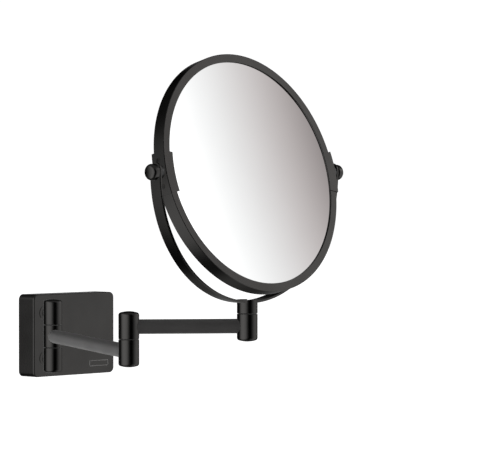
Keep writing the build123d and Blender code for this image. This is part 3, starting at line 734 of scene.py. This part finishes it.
class MIRROR_OT_knobs(bpy.types.Operator):
    """The two round pivot screws"""
    bl_idname = "mirror.knobs"
    bl_label = "Knobs"

    def execute(self, context):
        size = context.scene.mirror_sizes
        thread, shoulder, bevel = size.thread_radius, size.shoulder_radius, 0.3 * MM
        # distances from the mirror's centre: the thread's end, the clip's face and the knob's own foot
        inner_end, clip_face, foot = RIM_R - 3 * MM, RIM_R + size.clip_wall, YOKE_R + 0.6 * MM
        for name, side in (("right_knob_screw", 1), ("left_knob_screw", -1)):
            low, high = box(name)
            radius = (high[2] - low[2]) / 2
            tip = high[0] if side > 0 else low[0]
            height = abs(tip - HEAD[0]) - foot - size.knob_dome
            curve = edge_and_dome(radius, height, size.knob_dome, size.knob_edge)
            curve[:, 1] += foot
            profile = np.vstack([[(0, inner_end), (thread, inner_end), (thread, clip_face),
                                  (shoulder, clip_face), (shoulder, foot), (radius - bevel, foot),
                                  (radius, foot + bevel)], curve])
            profile[:, 1] *= side
            black_piece(name, "mirror", *lathe(profile, TILT, "X"))
        return {"FINISHED"}


# ---------------------------------------------------------------- carried-over nodes
SLOT_MATERIAL = {"black_coat": "Black coat", "black_screws": "Blackened screws", "zinc_plate": "Zinc plate",
                 "bright_steel": "Turned steel", "black_polymer": "Black polymer",
                 "mirror_glass": "Silvered glass", "foam": "Foam", "badge_satin": "Badge line"}


class MIRROR_OT_hardware(bpy.types.Operator):
    """Gives the frame's own nodes their materials"""
    bl_idname = "mirror.hardware"
    bl_label = "Hardware finishes"

    def execute(self, context):
        materials = finishes()
        for part in frame["record"]["subparts"]:
            node = frame["nodes"][part["node"]]
            material = materials[SLOT_MATERIAL[part["material_slot"]]]
            if not node.material_slots:
                node.data.materials.append(material)
            for slot in node.material_slots:
                slot.material = material
            node.visible_glossy = False
        return {"FINISHED"}


# ---------------------------------------------------------------- studio
# Brightness of the studio around the object, by azimuth in degrees, counted to the right from the camera's
# place: a soft box at each side and dark flags between them. One ring is for the sky, and the other goes
# up to the horizon, where there is more light behind the object. The last two are overhead and underneath.
SIDES = ((-104, 0.03), (-97, 0.05), (-90, 0.18), (-83, 0.75), (-68, 1.4), (-45, 1.55), (-22, 1.35),
         (-9, 0.9), (1, 0.42), (11, 0.08), (20, 0.0), (40, 0.0), (52, 0.08), (64, 0.34), (78, 0.7),
         (95, 0.98), (118, 1.2), (140, 1.2))
SKY_RING = ((-180, 0.02), (-110, 0.01), *SIDES, (155, 0.5), (168, 0.05), (180, 0.02))
LOW_RING = ((-180, 0.3), (-165, 0.75), (-143, 0.9), (-134, 0.4), (-125, 0.03), (-110, 0.02), *SIDES,
            (155, 0.6), (168, 0.25), (180, 0.35))
OVERHEAD, UNDERNEATH = (0.3, 0.3, 0.3), (0.1, 0.1, 0.1)
# The heights, in degrees, between which one of them gives way to the next
TO_SKY, TO_OVERHEAD, TO_UNDERNEATH = (4, 18), (28, 48), (-50, -72)
MOST_LIGHT = 4.0                 # a ramp holds values up to 1, so it has the level's share of this

# The panel that the glass looks at: its heights and azimuths, its two ramps of brightness by azimuth, each
# as start, end, and the level at both, and the warm tint of its dim edge
PANEL_HEIGHTS = ((9, 14), (31, 26))
PANEL_AZIMUTHS = ((80, 87), (124, 114))
PANEL_RAMPS = ((88.5, 99.2, 0.31, 1.52), (99.6, 108.0, 0.0, 1.75))
PANEL_TINT, TINT_FADES = (1.06, 0.955, 0.945), (0.35, 1.41)
WHITE = (1.0, 1.0, 1.0)
BACKDROP = (1.05, 1.05, 1.05)    # what the camera itself sees
FLOOR_RADIUS, FLOOR_SIDES = 14.0, 96


class MIRROR_OT_studio(bpy.types.Operator):
    """Camera, floor and soft surrounding light"""
    bl_idname = "mirror.studio"
    bl_label = "Studio"

    def execute(self, context):
        studio = context.scene.mirror_studio
        self.camera(context.scene, studio)
        self.floor(studio)
        self.light(context.scene, studio)
        context.scene.view_settings.view_transform = "Standard"
        return {"FINISHED"}

    def camera(self, scene, studio):
        a, e = studio.azimuth, studio.elevation
        back = np.array([sin(a) * cos(e), -cos(a) * cos(e), sin(e)])
        right = np.array([cos(a), sin(a), 0.0])
        up = np.cross(back, right)
        place = studio.distance * back + studio.aim_side * right + studio.aim_up * up
        data = bpy.data.cameras.new("Camera")
        data.lens, data.sensor_width = studio.lens, 36
        data.clip_start, data.clip_end = 0.05, 50
        camera = bpy.data.objects.new("Camera", data)
        scene.collection.objects.link(camera)
        matrix = Matrix.Identity(4)
        for column, direction in enumerate((right, up, back, place)):
            for row in range(3):
                matrix[row][column] = float(direction[row])
        camera.matrix_world = matrix
        scene.camera = camera

    def floor(self, studio):
        """A large flat disc. It doesn't show in the object's reflections."""
        turn = np.linspace(0, tau, FLOOR_SIDES, endpoint=False)
        points = np.column_stack([FLOOR_RADIUS * np.cos(turn), FLOOR_RADIUS * np.sin(turn),
                                  np.full(FLOOR_SIDES, -studio.floor_drop)])
        mesh = bpy.data.meshes.new("Floor")
        mesh.from_pydata(points.tolist(), [], [list(range(FLOOR_SIDES))])
        floor = bpy.data.objects.new("Floor", mesh)
        bpy.context.scene.collection.objects.link(floor)
        material, _, _, shader = new_material("Pale floor")
        shader.inputs["Base Color"].default_value = (0.9, 0.9, 0.9, 1)
        shader.inputs["Roughness"].default_value = 0.9
        shader.inputs["Emission Color"].default_value = (1, 1, 1, 1)
        shader.inputs["Emission Strength"].default_value = 0.8
        mesh.materials.append(material)
        floor.visible_glossy = False
        floor.visible_diffuse = False

    def light(self, scene, studio):
        """The world: white to the camera, and to everything else a studio whose brightness depends on the
        direction's azimuth from the camera's place and on its height."""
        world = bpy.data.worlds.new("Studio")
        scene.world = world
        world.use_nodes = True
        nodes, links = world.node_tree.nodes, world.node_tree.links
        nodes.clear()

        def calc(operation, *values):
            """A maths node on numbers and on other nodes' outputs."""
            node = nodes.new("ShaderNodeMath")
            node.operation = operation
            for socket, value in zip(node.inputs, values):
                if isinstance(value, (int, float)):
                    socket.default_value = value
                else:
                    links.new(value, socket)
            return node.outputs[0]

        def run(value, start, end, low=0.0, high=1.0, kind="LINEAR"):
            """Carries a value's range from start to end over to low to high, and stays there beyond."""
            ranged = nodes.new("ShaderNodeMapRange")
            ranged.interpolation_type = kind
            for name, number in (("From Min", start), ("From Max", end), ("To Min", low), ("To Max", high)):
                ranged.inputs[name].default_value = number
            links.new(value, ranged.inputs["Value"])
            return ranged.outputs["Result"]

        def step(value, limits):
            """Runs smoothly from 0 at the first limit to 1 at the second."""
            return run(value, *limits, kind="SMOOTHSTEP")

        def blend(factor, a, b):
            """The first colour where the factor is 0, the second where it is 1."""
            mixed = nodes.new("ShaderNodeMix")
            mixed.data_type = "RGBA"
            factor_in, a_in, b_in = mixed.inputs[0], mixed.inputs[6], mixed.inputs[7]
            links.new(factor, factor_in)
            for socket, value in ((a_in, a), (b_in, b)):
                if isinstance(value, tuple):
                    socket.default_value = (*value, 1)
                else:
                    links.new(value, socket)
            return mixed.outputs[2]

        def times(colour, factor):
            """A colour times a number or another node's output."""
            scaled = nodes.new("ShaderNodeVectorMath")
            scaled.operation = "SCALE"
            links.new(colour, scaled.inputs[0])
            if isinstance(factor, float):
                scaled.inputs["Scale"].default_value = factor
            else:
                links.new(factor, scaled.inputs["Scale"])
            return scaled.outputs["Vector"]

        def ring_of_light(table):
            """Brightness around the object, from a table of azimuths and levels."""
            ramp = nodes.new("ShaderNodeValToRGB")
            stops = ramp.color_ramp
            stops.interpolation = "EASE"
            stops.elements.remove(stops.elements[1])
            for index, (degrees, level) in enumerate(table):
                place = (degrees + 180) / 360
                stop = stops.elements[0] if index == 0 else stops.elements.new(place)
                stop.position = place
                stop.color = (*[level / MOST_LIGHT] * 3, 1)
            links.new(around, ramp.inputs["Fac"])
            return times(ramp.outputs["Color"], MOST_LIGHT)

        way = nodes.new("ShaderNodeTexCoord").outputs["Generated"]
        turned = nodes.new("ShaderNodeVectorRotate")
        turned.rotation_type = "Z_AXIS"
        turned.inputs["Angle"].default_value = pi / 2 - studio.azimuth
        links.new(way, turned.inputs["Vector"])
        parts = nodes.new("ShaderNodeSeparateXYZ")
        links.new(turned.outputs["Vector"], parts.inputs["Vector"])
        azimuth = calc("MULTIPLY", calc("ARCTAN2", parts.outputs["Y"], parts.outputs["X"]), 180 / pi)
        height = calc("MULTIPLY", calc("ARCSINE", parts.outputs["Z"]), 180 / pi)

        # the soft boxes lean to one side away from the horizon, and more so above it
        slant = calc("ADD", calc("MULTIPLY", calc("ABSOLUTE", height), 0.4), calc("MULTIPLY", height, 0.1))
        around = calc("DIVIDE", calc("ADD", calc("ADD", azimuth, slant), 180), 360)
        sky = blend(step(height, TO_SKY), ring_of_light(LOW_RING), ring_of_light(SKY_RING))
        sky = blend(step(height, TO_OVERHEAD), sky, OVERHEAD)
        sky = blend(step(height, TO_UNDERNEATH), sky, UNDERNEATH)

        # the panel's levels lean a little with the height
        slope = calc("SUBTRACT", azimuth, calc("MULTIPLY", height, 0.1))
        grey = calc("ADD", *[run(slope, *ramp) for ramp in PANEL_RAMPS])
        panel = times(blend(step(grey, TINT_FADES), PANEL_TINT, WHITE), grey)
        inside = calc("MULTIPLY", *[step(height, limits) for limits in PANEL_HEIGHTS])
        across = calc("MULTIPLY", *[step(azimuth, limits) for limits in PANEL_AZIMUTHS])
        sky = blend(calc("MULTIPLY", inside, across), sky, panel)

        seen = nodes.new("ShaderNodeLightPath").outputs["Is Camera Ray"]
        sky = blend(seen, sky, BACKDROP)
        background = nodes.new("ShaderNodeBackground")
        background.inputs["Strength"].default_value = studio.key
        links.new(sky, background.inputs["Color"])
        output = nodes.new("ShaderNodeOutputWorld")
        links.new(background.outputs["Background"], output.inputs["Surface"])


OPERATORS = (MIRROR_OT_wall_plate, MIRROR_OT_standoffs, MIRROR_OT_barrels, MIRROR_OT_rods, MIRROR_OT_yoke,
             MIRROR_OT_rim, MIRROR_OT_glasses, MIRROR_OT_clips, MIRROR_OT_knobs, MIRROR_OT_hardware,
             MIRROR_OT_studio)


class MIRROR_PT_panel(bpy.types.Panel):
    """Lists the pieces of the shaving mirror"""
    bl_label = "Shaving mirror"
    bl_idname = "MIRROR_PT_panel"
    bl_space_type = "VIEW_3D"
    bl_region_type = "UI"
    bl_category = "Shaving mirror"

    def draw(self, context):
        for settings in ("mirror_sizes", "mirror_finishes", "mirror_studio"):
            group = getattr(context.scene, settings)
            column = self.layout.column(align=True)
            for name in group.__annotations__:
                column.prop(group, name)
        for operator in OPERATORS:
            self.layout.operator(operator.bl_idname)


CLASSES = (MirrorSizes, MirrorFinishes, MirrorStudio, *OPERATORS, MIRROR_PT_panel)


def register():
    """Registers the classes and hangs their settings on the scene."""
    for item in CLASSES:
        bpy.utils.register_class(item)
    bpy.types.Scene.mirror_sizes = bpy.props.PointerProperty(type=MirrorSizes)
    bpy.types.Scene.mirror_finishes = bpy.props.PointerProperty(type=MirrorFinishes)
    bpy.types.Scene.mirror_studio = bpy.props.PointerProperty(type=MirrorStudio)


def unregister():
    """Takes the settings and the classes away again."""
    for name in ("mirror_studio", "mirror_finishes", "mirror_sizes"):
        delattr(bpy.types.Scene, name)
    for item in reversed(CLASSES):
        bpy.utils.unregister_class(item)


def main():
    """Registers the add-on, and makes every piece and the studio."""
    register()
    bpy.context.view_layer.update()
    for operator in OPERATORS:
        group, name = operator.bl_idname.split(".")
        getattr(getattr(bpy.ops, group), name)()


if __name__ == "__main__":
    main()
